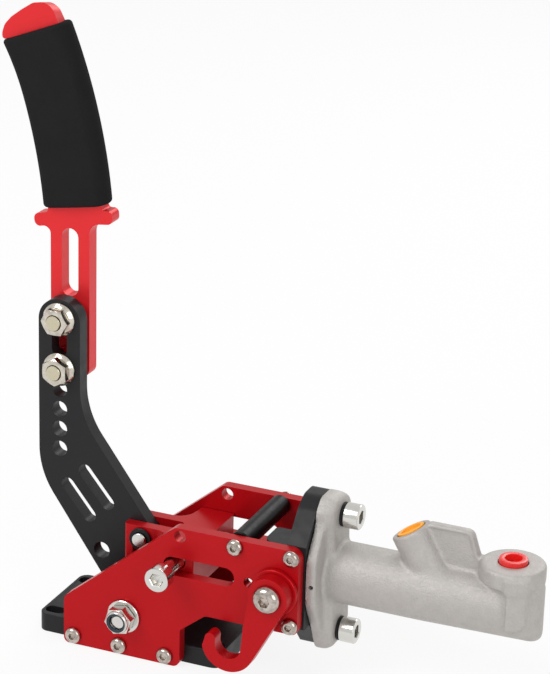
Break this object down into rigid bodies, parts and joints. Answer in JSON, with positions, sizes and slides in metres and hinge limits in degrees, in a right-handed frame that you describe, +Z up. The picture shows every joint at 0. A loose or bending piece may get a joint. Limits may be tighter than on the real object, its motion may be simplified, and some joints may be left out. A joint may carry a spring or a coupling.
{
  "type": "parking brake lever",
  "caption": "Upright parking brake lever with a foam grip, plate frame, sliding yoke, locking hook and horizontal master cylinder.",
  "frame": {"origin": "on the underside of the base plate, straight below the main pivot's axis and on the middle plane of the frame", "axes": "+X from the lever towards the master cylinder, +Z up, -Y towards the side plate with the hook and the pivot nut"},
  "size_m": [0.2993, 0.0904, 0.3248],
  "materials": {
    "red_anodised": "glossy red anodised aluminium",
    "black_anodised": "satin black anodised aluminium",
    "zinc_steel": "bright zinc plated steel",
    "black_oxide_steel": "black oxide",
    "spring_steel": "drawn wire",
    "bronze": "sintered bronze",
    "foam": "closed-cell foam, matt",
    "cast_aluminium": "as cast, fine grain",
    "machined_aluminium": "turned",
    "seal_rubber": "smooth",
    "nylon": "matt",
    "orange_plastic": "matt",
    "red_plastic": "glossy"
  },
  "bodies": {
    "frame": {"base_plate": "black_anodised", "side_plate_near": "red_anodised", "side_plate_far": "red_anodised", "cross_spacer": "black_anodised", "cylinder_bracket": "black_anodised", "base_screw_1_near": "zinc_steel", "base_screw_2_near": "zinc_steel", "base_screw_3_near": "zinc_steel", "base_screw_1_far": "zinc_steel", "base_screw_2_far": "zinc_steel", "base_screw_3_far": "zinc_steel", "spacer_screw_near": "zinc_steel", "spacer_screw_far": "zinc_steel", "bracket_screw_upper_near": "zinc_steel", "bracket_screw_upper_far": "zinc_steel", "bracket_screw_lower_near": "zinc_steel", "bracket_screw_lower_far": "zinc_steel", "pivot_bolt": "zinc_steel", "pivot_washer_near": "zinc_steel", "pivot_washer_far": "zinc_steel", "pivot_nut": "zinc_steel", "nylon_ring": "nylon", "pivot_spacer_near": "zinc_steel", "pivot_spacer_far": "zinc_steel", "hook_spacer": "red_anodised", "hook_screw": "zinc_steel", "cylinder_body": "cast_aluminium", "cylinder_bolt_upper": "zinc_steel", "cylinder_bolt_lower": "zinc_steel", "inlet_plug": "orange_plastic", "outlet_plug": "red_plastic", "snap_ring": "black_oxide_steel", "stop_washer": "zinc_steel", "return_spring": "spring_steel"},
    "lever": {"lever_arm": "black_anodised", "lever_bush": "bronze", "clevis_pin": "zinc_steel", "clevis_clip_near": "black_oxide_steel", "clevis_clip_far": "black_oxide_steel", "handle_blade": "red_anodised", "foam_grip": "foam", "handle_spacer_upper": "red_anodised", "handle_spacer_lower": "red_anodised", "handle_bolt_upper": "zinc_steel", "handle_bolt_lower": "zinc_steel", "handle_nut_upper": "zinc_steel", "handle_nut_lower": "zinc_steel"},
    "slider": {"yoke": "red_anodised", "lock_bolt": "zinc_steel", "push_rod": "zinc_steel", "rod_lock_nut": "zinc_steel", "piston": "machined_aluminium", "primary_cup": "seal_rubber", "secondary_cup": "seal_rubber"},
    "hook": {"lock_hook": "red_anodised"}
  },
  "joints": [
    {"name": "lever_pull", "type": "hinge", "parent": "frame", "child": "lever", "pos_m": [0, 0, 0.0224], "axis": [0, 1, 0], "range_deg": [0, 45]},
    {"name": "yoke_slide", "type": "slide", "parent": "frame", "child": "slider", "axis": [1, 0, 0], "range_m": [0, 0.0248], "stiffness_N_per_m": 500, "springref_m": -0.02, "deforming": ["return_spring"]},
    {"name": "hook_swing", "type": "hinge", "parent": "frame", "child": "hook", "pos_m": [0.083, 0, 0.0544], "axis": [0, 1, 0], "range_deg": [-35, 55]}
  ],
  "couplings": [
    {"joint": "yoke_slide", "follows": "lever_pull", "m_per_rad": 0.03155}
  ]
}
